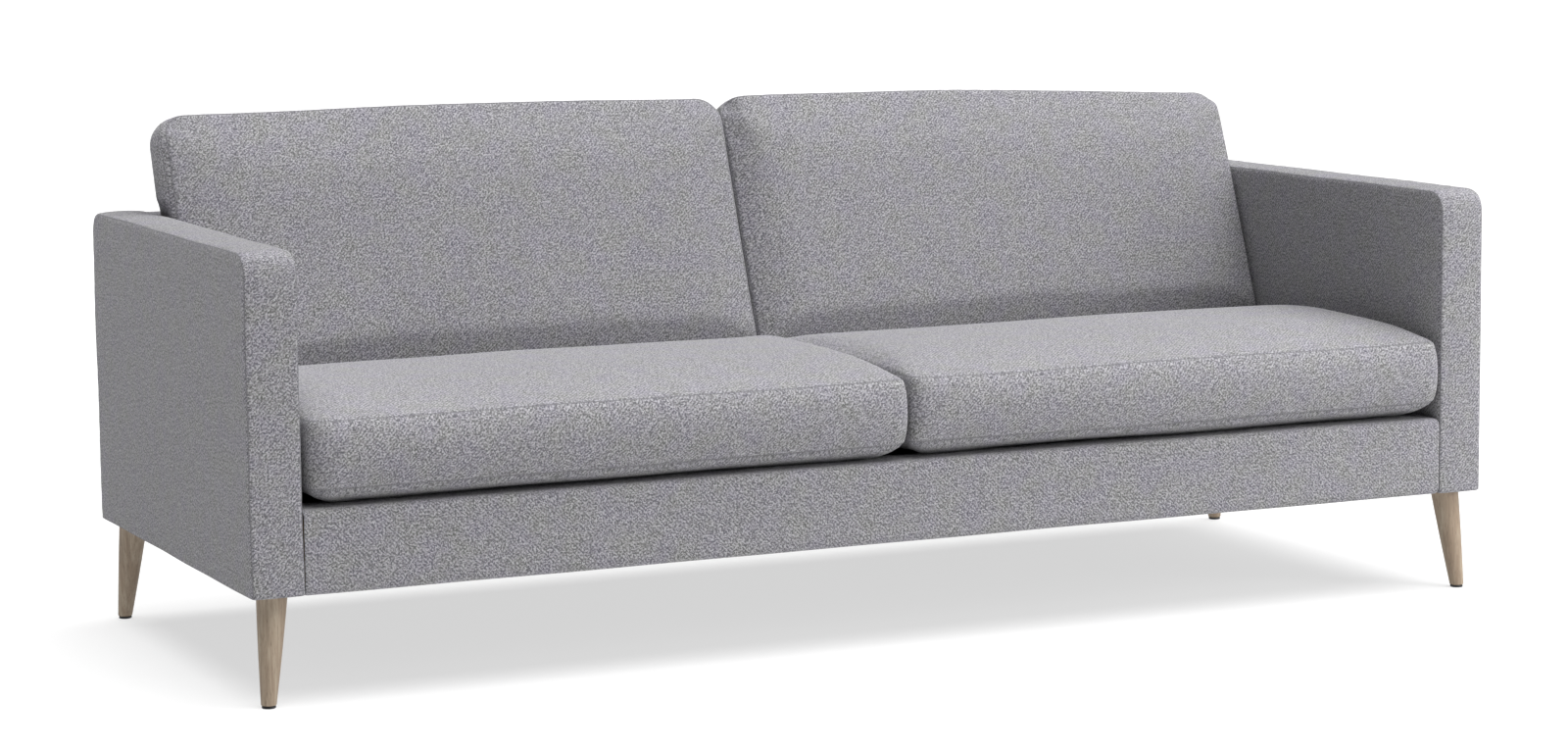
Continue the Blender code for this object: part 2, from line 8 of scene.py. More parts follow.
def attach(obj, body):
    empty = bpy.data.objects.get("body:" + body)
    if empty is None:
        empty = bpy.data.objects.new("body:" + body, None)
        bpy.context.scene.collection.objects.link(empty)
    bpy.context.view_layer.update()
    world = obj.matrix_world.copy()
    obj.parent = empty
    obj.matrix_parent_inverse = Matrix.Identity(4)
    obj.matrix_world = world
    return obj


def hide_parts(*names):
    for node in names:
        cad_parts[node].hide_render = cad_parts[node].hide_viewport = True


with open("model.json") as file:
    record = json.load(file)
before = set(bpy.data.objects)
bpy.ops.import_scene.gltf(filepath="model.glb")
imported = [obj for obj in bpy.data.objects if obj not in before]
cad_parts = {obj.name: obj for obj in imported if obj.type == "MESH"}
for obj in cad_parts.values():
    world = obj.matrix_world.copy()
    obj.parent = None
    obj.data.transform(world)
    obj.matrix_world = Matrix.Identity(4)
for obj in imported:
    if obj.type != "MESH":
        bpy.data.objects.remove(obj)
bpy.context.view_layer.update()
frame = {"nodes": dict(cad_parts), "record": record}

scene = bpy.context.scene
sideSigns = {"left": -1, "right": 1}
endSigns = {"front": -1, "rear": 1}


def hexColour(code):
    # sRGB hex to linear: c / 12.92 below 0.04045, else ((c + 0.055) / 1.055) ^ 2.4
    shares = [int(code[i:i + 2], 16) / 255 for i in (0, 2, 4)]
    return (*[v / 12.92 if v <= 0.04045 else ((v + 0.055) / 1.055) ** 2.4 for v in shares], 1.0)


def node(tree, kind, inputs=None, **settings):
    # adds one node: settings are its own options, inputs are values or the sockets that feed it.
    # a Mix node's inputs are 0 the factor, 2 and 3 its numbers, 4 and 5 its vectors, 6 and 7 its colours
    made = tree.nodes.new(kind)
    for key, value in settings.items():
        setattr(made, key, value)
    for key, value in (inputs or {}).items():
        if isinstance(value, bpy.types.NodeSocket):
            tree.links.new(value, made.inputs[key])
        else:
            made.inputs[key].default_value = value
    return made


def newMaterial(name, roughness, metallic=0.0, specular=0.5):
    material = bpy.data.materials.new(name)
    material.use_nodes = True
    shader = material.node_tree.nodes["Principled BSDF"]
    shader.inputs["Roughness"].default_value = roughness
    shader.inputs["Metallic"].default_value = metallic
    shader.inputs["Specular IOR Level"].default_value = specular
    return material, material.node_tree, shader


def finishShader(tree, shader, colour, height, strength, depth):
    # colour goes to the base, height to a bump of the given depth in metres
    bump = node(tree, "ShaderNodeBump", {"Height": height, "Strength": strength, "Distance": depth})
    tree.links.new(colour, shader.inputs["Base Color"])
    tree.links.new(bump.outputs[0], shader.inputs["Normal"])


fabricLook = {
    "yarnPitch": 0.0016,       # metres from yarn to yarn, a little coarser than a real one so that it shows
    "lightYarn": "BDBCC0",
    "darkYarn": "4E4E52",
    "warpLift": 0.24,          # how much lighter the warp is than the weft
    "fleck": 0.80,             # how much each float differs from the next
    "slub": 2.40,              # how much the thick and thin places in the yarn show
    "slubSize": 2.0,           # and their size, in yarns
    "marl": 0.50,              # how much one yarn varies along its length
    "marlLength": 0.13,        # how fast it varies along the yarn, as a share of how fast across
    "base": -1.57,             # the tone that the four shares above add to
    "sheen": 0.25,             # the paler look of wool seen along its surface
    "castShare": 0.20,         # how much the patches tint the yarn
    "violetCast": "9D97AB",
    "greenCast": "9C9D92",
    "castSize": 0.045,         # metres across the faint patches of cooler and warmer yarn
    "paintedSeamShade": 0.35,          # painted shade: how much darker the colour is made in a seam's groove
    "paintedYarnShade": (0.72, 0.35),    # painted shade between the yarns: brightness between two yarns, and what the top of a yarn adds to it
    "wander": 1.8,             # how far the yarns stray, in yarns
    "yarnHeight": 0.0006,      # metres that a yarn stands out
}


def hopsackUpholstery():
    # woven wool-blend hopsack, two yarns over two, light warp and dark weft: matt, speckled,
    # with faint diagonals
    look = fabricLook
    material, tree, shader = newMaterial("wovenHopsackUpholstery", 0.92, specular=0.2)
    shader.inputs["Sheen Weight"].default_value = look["sheen"]
    shader.inputs["Sheen Roughness"].default_value = 0.45
    flat = node(tree, "ShaderNodeUVMap", uv_map="cloth").outputs[0]
    scaled = node(tree, "ShaderNodeMapping", {"Vector": flat, "Scale": (1 / look["yarnPitch"],) * 3}).outputs[0]
    # the yarns wander a little
    wander = node(tree, "ShaderNodeTexNoise", {"Vector": scaled, "Scale": 0.05, "Detail": 2.0}).outputs["Color"]
    drift = node(tree, "ShaderNodeVectorMath", {0: wander, 1: (0.5, 0.5, 0.5)}, operation="SUBTRACT").outputs[0]
    bent = node(tree, "ShaderNodeVectorMath", {0: drift, 1: (look["wander"], look["wander"], 0), 2: scaled},
                operation="MULTIPLY_ADD").outputs[0]
    split = node(tree, "ShaderNodeSeparateXYZ", {0: bent})
    across, along = split.outputs[0], split.outputs[1]
    # the warp is on top where (column - row) mod 4 < 2
    column, row = (node(tree, "ShaderNodeMath", {0: way}, operation="FLOOR").outputs[0]
                   for way in (across, along))
    apart = node(tree, "ShaderNodeMath", {0: column, 1: row}, operation="SUBTRACT").outputs[0]
    step = node(tree, "ShaderNodeMath", {0: apart, 1: 4.0}, operation="FLOORED_MODULO").outputs[0]
    warpUp = node(tree, "ShaderNodeMath", {0: step, 1: 2.0}, operation="LESS_THAN").outputs[0]
    # each yarn is round: sin(pi times the place across it)
    inWarp, inWeft = (node(tree, "ShaderNodeMath", {0: way}, operation="FRACT").outputs[0]
                      for way in (across, along))
    inYarn = node(tree, "ShaderNodeMix", {0: warpUp, 2: inWeft, 3: inWarp}).outputs[0]
    turn = node(tree, "ShaderNodeMath", {0: inYarn, 1: math.pi}, operation="MULTIPLY").outputs[0]
    height = node(tree, "ShaderNodeMath", {0: turn}, operation="SINE").outputs[0]
    # tone: base + warp lift + chance per float + marl along the yarn + slubs
    place = node(tree, "ShaderNodeCombineXYZ", {0: column, 1: row, 2: warpUp}).outputs[0]
    fleck = node(tree, "ShaderNodeTexWhiteNoise", {"Vector": place}, noise_dimensions="3D").outputs["Value"]
    slow = look["marlLength"]
    warpLine, weftLine = (node(tree, "ShaderNodeVectorMath", {0: bent, 1: pace}, operation="MULTIPLY").outputs[0]
                          for pace in ((1, slow, 0), (slow, 1, 0)))
    yarn = node(tree, "ShaderNodeMix", {0: warpUp, 4: weftLine, 5: warpLine}, data_type="VECTOR").outputs[1]
    marl = node(tree, "ShaderNodeTexNoise", {"Vector": yarn, "Scale": 1.0, "Detail": 1.0}).outputs[0]
    slub = node(tree, "ShaderNodeTexNoise", {"Vector": scaled, "Scale": 1 / look["slubSize"],
                                             "Detail": 1.0}).outputs[0]
    tone = look["base"]
    for share, amount in ((warpUp, "warpLift"), (fleck, "fleck"), (marl, "marl"), (slub, "slub")):
        tone = node(tree, "ShaderNodeMath", {0: share, 1: look[amount], 2: tone}, operation="MULTIPLY_ADD",
                    use_clamp=amount == "slub").outputs[0]
    colour = node(tree, "ShaderNodeMix", {0: tone, 6: hexColour(look["darkYarn"]),
                                          7: hexColour(look["lightYarn"])}, data_type="RGBA").outputs[2]
    # broad faint patches of cooler and warmer yarn
    patches = node(tree, "ShaderNodeTexNoise", {"Vector": flat, "Scale": 1 / look["castSize"], "Detail": 3.0})
    patch = node(tree, "ShaderNodeMapRange", {0: patches.outputs[0], 1: 0.35, 2: 0.65}).outputs[0]
    cast = node(tree, "ShaderNodeMix", {0: patch, 6: hexColour(look["violetCast"]),
                                        7: hexColour(look["greenCast"])}, data_type="RGBA").outputs[2]
    colour = node(tree, "ShaderNodeMix", {0: look["castShare"], 6: colour, 7: cast}, data_type="RGBA").outputs[2]
    # painted shade: darker between the yarns and in the seams' grooves, where shade falls
    seam = node(tree, "ShaderNodeAttribute", attribute_name="seam").outputs["Fac"]
    besideSeam = node(tree, "ShaderNodeMath", {0: seam, 1: -look["paintedSeamShade"], 2: 1.0},
                      operation="MULTIPLY_ADD").outputs[0]
    # painted shade: the colour is darker where a yarn dips, between two yarns
    lowest, gain = look["paintedYarnShade"]
    paintedYarnShade = node(tree, "ShaderNodeMath", {0: height, 1: gain, 2: lowest}, operation="MULTIPLY_ADD").outputs[0]
    shade = node(tree, "ShaderNodeMath", {0: paintedYarnShade, 1: besideSeam}, operation="MULTIPLY").outputs[0]
    grey = node(tree, "ShaderNodeCombineColor", {0: shade, 1: shade, 2: shade}).outputs[0]
    colour = node(tree, "ShaderNodeMix", {0: 1.0, 6: colour, 7: grey}, data_type="RGBA",
                  blend_type="MULTIPLY").outputs[2]
    finishShader(tree, shader, colour, height, 0.8, look["yarnHeight"])
    return material


oakLook = {
    "base": "94826F",
    # pattern: times per metre in (x, y, z), detail, distortion, where the noise starts and is full, the most
    # that it shows, colour
    "rings": ((55, 80, 3.5), 2.0, 1.5, 0.35, 0.65, 1.0, "A89A87"),
    "grain": ((260, 260, 9), 5.0, 0.6, 0.42, 0.60, 0.40, "7C6958"),
    "pores": ((900, 900, 60), 1.0, 0.0, 0.60, 0.72, 0.5, "625141"),
    "poreDepth": 0.0002,
}


def soapedOak():
    # turned oak, sanded and soaped: pale taupe, fine straight grain and short dark pores along the leg
    material, tree, shader = newMaterial("turnedSoapedOak", 0.58, specular=0.4)
    place = node(tree, "ShaderNodeTexCoord").outputs["Object"]
    colour = hexColour(oakLook["base"])
    for pattern in ("rings", "grain", "pores"):
        scale, detail, distortion, low, high, most, tone = oakLook[pattern]
        spot = node(tree, "ShaderNodeMapping", {"Vector": place, "Scale": scale}).outputs[0]
        noise = node(tree, "ShaderNodeTexNoise", {"Vector": spot, "Scale": 1.0, "Detail": detail,
                                                  "Distortion": distortion}).outputs[0]
        share = node(tree, "ShaderNodeMapRange", {0: noise, 1: low, 2: high, 4: most}).outputs[0]
        colour = node(tree, "ShaderNodeMix", {0: share, 6: colour, 7: hexColour(tone)},
                      data_type="RGBA").outputs[2]
    # the last share is the pores', which are hollows
    finishShader(tree, shader, colour, share, 0.25, -oakLook["poreDepth"])
    return material


def speckled(name, base, fleck, roughness, grain, metallic=0.0, depth=0.0002, stretch=(1, 1, 1)):
    # two close colours mixed by a noise of the given grain size in metres, with the same noise as relief
    material, tree, shader = newMaterial(name, roughness, metallic)
    place = node(tree, "ShaderNodeTexCoord").outputs["Object"]
    scaled = node(tree, "ShaderNodeMapping", {"Vector": place, "Scale": [k / grain for k in stretch]}).outputs[0]
    noise = node(tree, "ShaderNodeTexNoise", {"Vector": scaled, "Scale": 1.0, "Detail": 4.0}).outputs[0]
    spread = node(tree, "ShaderNodeMapRange", {0: noise, 1: 0.3, 2: 0.7}).outputs[0]
    colour = node(tree, "ShaderNodeMix", {0: spread, 6: hexColour(base), 7: hexColour(fleck)},
                  data_type="RGBA").outputs[2]
    finishShader(tree, shader, colour, noise, 0.5, depth)
    return material


finishes = {
    "upholstery": hopsackUpholstery(),
    "soaped_oak": soapedOak(),
    # planed spruce: straw yellow, soft lengthwise grain
    "pine": speckled("planedSpruce", "D9BE93", "C19B68", 0.65, 0.006, stretch=(0.05, 1, 1)),
    # open-cell foam: cream, finely pitted
    "foam": speckled("openCellFoam", "EFE7CC", "E0D5B2", 0.95, 0.0015, depth=0.0008),
    # pressed fibreboard: brown, smooth and slightly mottled
    "hardboard": speckled("pressedHardboard", "8A6748", "71523A", 0.75, 0.003),
    # zinc-plated steel: bright grey with a faint spangle
    "steel": speckled("zincPlatedSteel", "B9BCC0", "9EA2A8", 0.38, 0.004, metallic=1.0, depth=0.00005),
    # woven elastic webbing: black with a lengthwise rib
    "webbing": speckled("ribbedElasticWebbing", "2B2B2E", "3A3A3E", 0.85, 0.002, stretch=(0.2, 1, 1)),
    # spun-bonded polypropylene: black, faintly pebbled
    "lining": speckled("spunBondedLining", "1D1D1F", "2C2C2F", 0.9, 0.0025),
    # woven polyester tape: charcoal, matt
    "zip_tape": speckled("wovenZipTape", "55555A", "44444A", 0.8, 0.0012),
    # injection-moulded nylon: near black, faint sheen
    "glide": speckled("mouldedNylon", "2A2A2B", "222223", 0.45, 0.0012, depth=0.00004),
}
# bonded polyester thread: grey like the cloth, slightly glossy, with darker flecks; partly a thread and partly a
# dark line of painted shade in the seam's groove
threadAndSeamShadeFinish = speckled("bondedThreadAndSeamShade", "7E7E83", "55555A", 0.6, 0.0022)
for entry in frame["record"]["subparts"]:
    carried = frame["nodes"][entry["node"]]
    carried.data.materials.clear()
    carried.data.materials.append(finishes[entry["material_slot"]])
print("finishes ready")


def makePiece(name, points, faces, material, cloth=None, **pointValues):
    # points, faces, a flat cloth position for each face corner, and values kept at the points
    mesh = bpy.data.meshes.new(name)
    mesh.from_pydata(points.tolist(), [], faces if isinstance(faces, list) else faces.tolist())
    if cloth is not None:
        layer = mesh.uv_layers.new(name="cloth")
        layer.data.foreach_set("uv", np.asarray(cloth, np.float32).ravel())
    for key, values in pointValues.items():
        values = np.asarray(values, np.float32)
        kept = mesh.attributes.new(key, "FLOAT" if values.ndim == 1 else "FLOAT_VECTOR", "POINT")
        kept.data.foreach_set("value" if values.ndim == 1 else "vector", values.ravel())
    mesh.shade_smooth()
    mesh.materials.append(material)
    piece = bpy.data.objects.new(name, mesh)
    scene.collection.objects.link(piece)
    return piece


def register(piece, body, slot, *nodes, fill=None):
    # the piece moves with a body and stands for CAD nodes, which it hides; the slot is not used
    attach(piece, body)
    if nodes:
        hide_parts(*nodes)
    return piece


def readPoints(mesh, source="co"):
    # places, normals or the kept vectors of a mesh, one row for each point
    values = np.empty(len(mesh.vertices) * 3, np.float32)
    if source in ("co", "normal"):
        mesh.vertices.foreach_get(source, values)
    else:
        mesh.attributes[source].data.foreach_get("vector", values)
    return values.reshape(-1, 3).astype(float)


def applyModifiers(piece):
    # the mesh that the modifiers make takes the old one's place and name
    applied = bpy.data.meshes.new_from_object(piece.evaluated_get(bpy.context.evaluated_depsgraph_get()))
    piece.modifiers.clear()
    old, name = piece.data, piece.data.name
    piece.data = applied
    bpy.data.meshes.remove(old)
    applied.name = name


def gridQuads(index):
    # the squares of a grid whose points have these numbers
    return np.stack([index[:-1, :-1], index[1:, :-1], index[1:, 1:], index[:-1, 1:]], -1).reshape(-1, 4)


def ringQuads(index):
    # the squares of a tube whose rows of numbers are closed rings
    beside = np.roll(index, -1, axis=1)
    return np.stack([index[:-1], beside[:-1], beside[1:], index[1:]], -1).reshape(-1, 4)


def latticeStops(half, spacing, seamRows):
    # even steps from -half to half, with close rows beside both ends, where the seams are
    rows = np.asarray(seamRows)
    count = max(2, round(2 * (half - rows[-1]) / spacing))
    inner = np.linspace(-half + rows[-1], half - rows[-1], count + 1)
    return np.concatenate([[-half], -half + rows[:-1], inner, half - rows[:-1][::-1], [half]])


def boxLattice(s):
    # the points of a lattice that lie on its outside, and the faces between them, each with its axis
    stops = [latticeStops(s[key], s["spacing"], s["seamRows"]) for key in ("halfA", "halfB", "halfC")]
    shape = tuple(len(line) for line in stops)
    outside = np.zeros(shape, bool)
    outside[[0, -1]] = outside[:, [0, -1]] = outside[:, :, [0, -1]] = True
    index = np.full(shape, -1)
    index[outside] = np.arange(outside.sum())
    points = np.stack(np.meshgrid(*stops, indexing="ij"), -1)[outside]
    faces, axes = [], []
    for axis in range(3):
        for end in (0, -1):
            face = np.take(index, end, axis=axis)
            quads = gridQuads(face)
            outward = (end == -1) != (axis == 1)
            faces.append(quads if outward else quads[:, ::-1])
            axes.append(np.full(len(quads), axis))
    return points, np.concatenate(faces), np.concatenate(axes)


panelShift = 0.137             # metres between the cloth of a panel and of a band, so that their yarns differ


def clothPlan(flat, faces, axes, s):
    # where each face corner was on the uncut cloth: panels keep (a, b); the band is one strip round them:
    # (distance round the outline, c), or (c, distance) where it runs upwards in front
    corners, middles = flat[faces], flat[faces].mean(axis=1)[:, None, :]
    a, b, c = corners[..., 0], corners[..., 1], corners[..., 2]
    halfA, halfB = s["halfA"], s["halfB"]
    endFace, sideFace, low = axes[:, None] == 0, axes[:, None] == 1, middles < 0
    if s["bandUpright"]:
        reach = np.where(endFace, np.where(low[..., 0], b + halfB, 2 * halfA + 3 * halfB - b),
                         np.where(low[..., 1], a, 2 * halfB + halfA + a))
        band = np.stack([c, reach], -1)
    else:
        reach = np.where(sideFace, np.where(low[..., 1], a, 2 * halfA + 2 * halfB - a),
                         np.where(low[..., 0], -halfA - halfB - b, halfA + halfB + b))
        band = np.stack([reach, c], -1)
    panel = np.stack([np.where(low[..., 2], -a, a), b], -1)
    return np.where((axes == 2)[:, None, None], panel + panelShift, band)


def roundPlan(a, b, s):
    # a rectangle with round corners: each corner square is carried onto a quarter disc, ring by ring.
    # ring r = max(x, y), turn = (pi / 4) y / x below the diagonal and (pi / 4)(2 - x / y) above it
    halfA, halfB = s["halfA"], s["halfB"]
    lowLeft, lowRight, highLeft, highRight = s["cornerRadii"]
    radius = np.where(b < 0, np.where(a < 0, lowLeft, lowRight), np.where(a < 0, highLeft, highRight))
    overA, overB = np.abs(a) - (halfA - radius), np.abs(b) - (halfB - radius)
    corner = (overA > 0) & (overB > 0)
    ring = np.maximum(overA, overB)
    share = np.minimum(overA, overB) / np.maximum(ring, 1e-9)
    turn = np.where(overA >= overB, share, 2 - share) * math.pi / 4
    out = np.stack([np.where(corner, np.cos(turn), np.abs(a) > halfA - 1e-9),
                    np.where(corner, np.sin(turn), np.abs(b) > halfB - 1e-9)])
    plan = np.stack([np.where(corner, halfA - radius + ring * np.cos(turn), np.abs(a)),
                     np.where(corner, halfB - radius + ring * np.sin(turn), np.abs(b))])
    signs = np.stack([np.sign(a), np.sign(b)])
    return plan * signs, out * signs


def boxedForm(flat, s):
    # a boxed cushion: a band between two seams, and two panels that rise from their seams.
    # the band stands out by bulge (1 - |c / C| ^ p) ^ 0.7; a panel rises by
    # rise (1 - |a / A| ^ m)(1 - |b / B| ^ n) + crown (1 - (a / A) ^ 2)(1 - (b / B) ^ 2);
    # the outline itself moves along b by (b / B) ^ 3 (base + slope a / A + crown (1 - (a / A) ^ 2));
    # a tuck draws the upper side in near one end by 1 - share exp(-(distance / reach) ^ 2)
    a, b, c = flat.T
    halfA, halfB, halfC = s["halfA"], s["halfB"], s["halfC"]
    plan, out = roundPlan(a, b, s)
    lowA, highA, lowB, highB = s["bandBulge"]
    push = np.where(out[0] < 0, lowA, highA) * out[0] ** 2 + np.where(out[1] < 0, lowB, highB) * out[1] ** 2
    push *= np.clip(1 - np.abs(c / halfC) ** s["bandPower"], 0, 1) ** 0.7
    shareA, shareB = np.abs(a / halfA), np.abs(b / halfB)
    base, slope, crown = s["topLine"]
    line = base + slope * a / halfA + crown * (1 - shareA ** 2)
    bow = np.where(b > 0, line, -s["bottomBow"] * (1 - shareA ** 2)) * shareB ** 3

    def rise(height, powerA, lowPowerB, highPowerB, crown):
        return height * (1 - shareA ** powerA) * (1 - shareB ** np.where(b < 0, lowPowerB, highPowerB)) \
            + crown * (1 - shareA ** 2) * (1 - shareB ** 2)

    lift = np.where(c > halfC - 1e-9, rise(*s["topRise"]), 0) - np.where(c < -halfC + 1e-9,
                                                                         rise(*s["bottomRise"]), 0)
    level = c + lift
    for axis, end, share, reach in s["tucks"]:
        away = (halfA, halfB)[axis] - end * flat[:, axis]
        level = np.where(c > 0, level * (1 - share * np.exp(-(away / reach) ** 2)), level)
    plan = plan + out * push
    return np.stack([plan[0], plan[1] + bow, level], -1)


def handmade(flat, seed, size, amount):
    # soft unevenness: seven slow sine waves in chance directions, each of which moves the surface along a
    # chance vector
    chance = np.random.default_rng(seed)
    shift = np.zeros_like(flat)
    for _ in range(7):
        wave = chance.normal(size=3)
        wave *= 2 * math.pi / size / np.linalg.norm(wave) * chance.uniform(0.6, 1.6)
        shift += np.sin(flat @ wave + chance.uniform(0, 2 * math.pi))[:, None] * chance.normal(size=3)
    return shift * amount / 3


def fromSeam(flat, s):
    # distance over the lattice from the nearest seam: the seams are the outline's edges at c = -C and c = C
    toOutline = np.minimum(s["halfA"] - np.abs(flat[:, 0]), s["halfB"] - np.abs(flat[:, 1]))
    toPanel = s["halfC"] - np.abs(flat[:, 2])
    return np.maximum(np.maximum(toOutline, toPanel), 0)


# the cloth simulation: mass in kg for each point, and how many steps it runs
blowing = {"quality": 5, "mass": 0.3, "bending": 0.5, "frames": 20}


def inflate(piece, flat, s, alsoHeld):
    # blows the cloth out between its held seams; a move m is kept as cap tanh(m / cap)
    held = piece.vertex_groups.new(name="held")
    fixed = fromSeam(flat, s) < 1e-6
    if alsoHeld is not None:
        fixed |= alsoHeld(flat)
    held.add(np.nonzero(fixed)[0].tolist(), 1.0, "REPLACE")
    cloth = piece.modifiers.new("Cloth", "CLOTH")
    cloth.settings.quality = blowing["quality"]
    cloth.settings.mass = blowing["mass"]
    cloth.settings.tension_stiffness = cloth.settings.compression_stiffness = s["stiffness"]
    cloth.settings.shear_stiffness = s["stiffness"] / 3
    cloth.settings.bending_stiffness = blowing["bending"]
    cloth.settings.use_pressure = True
    cloth.settings.uniform_pressure_force = s["pressure"]
    cloth.settings.vertex_group_mass = "held"
    cloth.settings.effector_weights.gravity = 0
    cloth.point_cache.frame_start, cloth.point_cache.frame_end = 1, blowing["frames"]
    before = readPoints(piece.data)
    for number in range(blowing["frames"]):
        scene.frame_set(number + 1)
    blown = bpy.data.meshes.new_from_object(piece.evaluated_get(bpy.context.evaluated_depsgraph_get()))
    move = readPoints(blown) - before
    far = np.linalg.norm(move, axis=1)
    limit = s["cap"] * np.tanh(far / s["cap"])
    move *= (limit / np.maximum(far, 1e-9))[:, None]
    piece.modifiers.clear()
    piece.vertex_groups.clear()
    bpy.data.meshes.remove(blown)
    scene.frame_set(1)
    piece.data.vertices.foreach_set("co", (before + move).astype(np.float32).ravel())
    print(f"{piece.name}: blown out {1000 * far.max():.1f} mm, kept {1000 * limit.max():.1f} mm")


def pressFlat(points, planes, soft=0.0015, fade=0.025):
    # a point past a plane goes back to it: distance d becomes -soft ln(1 + exp(-d / soft)), so it never
    # passes; the push fades out over the given metres above the plane's top
    for direction, level, top in planes:
        direction = np.asarray(direction, float)
        past = points @ direction - level
        share = np.clip(1 - (points[:, 2] - top) / fade, 0, 1)
        points = points - np.outer(share * soft * np.logaddexp(0, past / soft), direction)
    return points


# metres from a seam: where its little gathers begin, and how far they reach
gatherFrom, gatherReach = 0.003, 0.014


def boxedPiece(name, s, place, turn, planes=(), rest=None, alsoHeld=None, material=None, simulate=True):
    # one boxed form from lattice to finished mesh: shape, cloth simulation, subdivision, seams, contact, place.
    # a seam sinks by depth exp(-(d / width) ^ 2) at distance d; gathers stand up by
    # pucker wave exp(-d / reach)(1 - exp(-d / from))
    flat, faces, axes = boxLattice(s)
    shaped = boxedForm(flat, s) + handmade(flat, s["seed"], s["waveSize"], s["waveAmount"])
    piece = makePiece(name, shaped, faces, material or finishes["upholstery"],
                      clothPlan(flat, faces, axes, s), flat=flat)
    if simulate:
        inflate(piece, flat, s, alsoHeld)
    divided = piece.modifiers.new("Subdivision", "SUBSURF")
    divided.levels = divided.render_levels = 1
    divided.uv_smooth = "NONE"
    applyModifiers(piece)
    mesh = piece.data
    points, normals, flat = readPoints(mesh), readPoints(mesh, "normal"), readPoints(mesh, "flat")
    away = fromSeam(flat, s)
    points -= normals * (s["seamDepth"] * np.exp(-(away / s["seamWidth"]) ** 2))[:, None]
    if s["pucker"]:
        run = np.stack([flat[:, 0] + flat[:, 1], flat[:, 0] - flat[:, 1]], -1)
        ripple = handmade(np.column_stack([run, flat[:, 2] * 0.2]), s["seed"] + 50, s["puckerLength"], 1)[:, 0]
        ripple *= s["pucker"] * np.exp(-away / gatherReach) * (1 - np.exp(-away / gatherFrom))
        points += normals * ripple[:, None]
    if rest is not None:
        points = rest(points)
    points = points @ np.asarray(turn, float).T + np.asarray(place, float)
    points = pressFlat(points, planes)
    mesh.vertices.foreach_set("co", points.astype(np.float32).ravel())
    # painted shade: the seam attribute darkens the cloth's colour in each seam's groove
    near = mesh.attributes.new("seam", "FLOAT", "POINT")
    near.data.foreach_set("value", np.exp(-(away / s["seamShade"]) ** 2).astype(np.float32))
    mesh.update()
    print(f"{name}: {sum(len(face.vertices) - 2 for face in mesh.polygons)} triangles")
    return piece


sewing = {"radius": 0.0006, "sink": 0.0003, "sides": 6}      # the thread, partly painted shade in the seam's groove, and how deep it lies in the cloth


def seamThreadAndShade(name, piece, s):
    # a thread along both seams, partly a dark line of painted shade in their grooves: a tube whose path is the
    # finished piece's own seam rows.
    # corner k at point i: path_i + radius (cos t_k out_i + sin t_k across_i), t_k = 2 pi k / sides
    points, normals, flat = (readPoints(piece.data, key) for key in ("co", "normal", "flat"))
    chosen = fromSeam(flat, s) < 1e-5
    allPoints, allFaces = [], []
    for level in (-1, 1):
        row = np.nonzero(chosen & (np.sign(flat[:, 2]) == level))[0]
        a, b = flat[row, 0] / s["halfA"], flat[row, 1] / s["halfB"]
        side = np.argmax(np.stack([b - 1, a - 1, -b - 1, -a - 1]) > -1e-4, axis=0)
        reach = np.choose(side, [a, -b, -a, b])
        row = row[np.lexsort((reach, side))]
        keep = np.concatenate([[True], np.linalg.norm(np.diff(points[row], axis=0), axis=1) > 1e-5])
        row = row[keep]
        ahead = np.roll(points[row], -1, axis=0) - np.roll(points[row], 1, axis=0)
        ahead /= np.linalg.norm(ahead, axis=1)[:, None]
        across = np.cross(ahead, normals[row])
        across /= np.linalg.norm(across, axis=1)[:, None]
        out = np.cross(across, ahead)
        turn = (np.arange(sewing["sides"]) * 2 * math.pi / sewing["sides"])[None, :, None]
        ring = sewing["radius"] * (np.cos(turn) * out[:, None] + np.sin(turn) * across[:, None])
        tube = (points[row] - sewing["sink"] * out)[:, None] + ring
        index = np.arange(len(row) * sewing["sides"]).reshape(len(row), -1)
        quads = ringQuads(np.concatenate([index, index[:1]]))
        allFaces.append(quads + sum(len(p) for p in allPoints))
        allPoints.append(tube.reshape(-1, 3))
    return makePiece(name, np.concatenate(allPoints), np.concatenate(allFaces), threadAndSeamShadeFinish)


# what the seats, backs and arms share, in metres
sewnPiece = {
    "spacing": 0.010, "seamRows": (0.0025, 0.006),
    "bandUpright": False, "topLine": (0.0, 0.0, 0.0), "bottomBow": 0.0, "tucks": (),
    "waveAmount": 0.0012, "stiffness": 12.0, "pressure": 3.0,
    "seamDepth": 0.0014, "seamWidth": 0.0030, "seamShade": 0.0018, "pucker": 0.0003, "puckerLength": 0.040,
    "foamClear": 0.004,        # how far the foam stays inside what its cover is pressed against
}
seatCushion = {
    **sewnPiece, "halfA": 0.4855, "halfB": 0.2755, "halfC": 0.052,
    "centre": (0.4915, -0.1425, 0.371),
    "cornerRadii": {"left": (0.034, 0.014, 0.018, 0.018), "right": (0.022, 0.014, 0.018, 0.018)},
    "bandBulge": (0.004, 0.004, 0.015, 0.003), "bandPower": 2.4, "bottomBow": 0.002,
    "topRise": {"left": (0.025, 60, 3.8, 5, 0.004), "right": (0.025, 60, 3.8, 2.6, 0.004)},
    "bottomRise": (0.024, 50, 30, 16, 0.0), "waveSize": 0.30, "cap": 0.006,
    "rearHeld": 0.02,          # half the height of the zip's strip
    "foamInset": 0.009, "fill": 0.85,
}
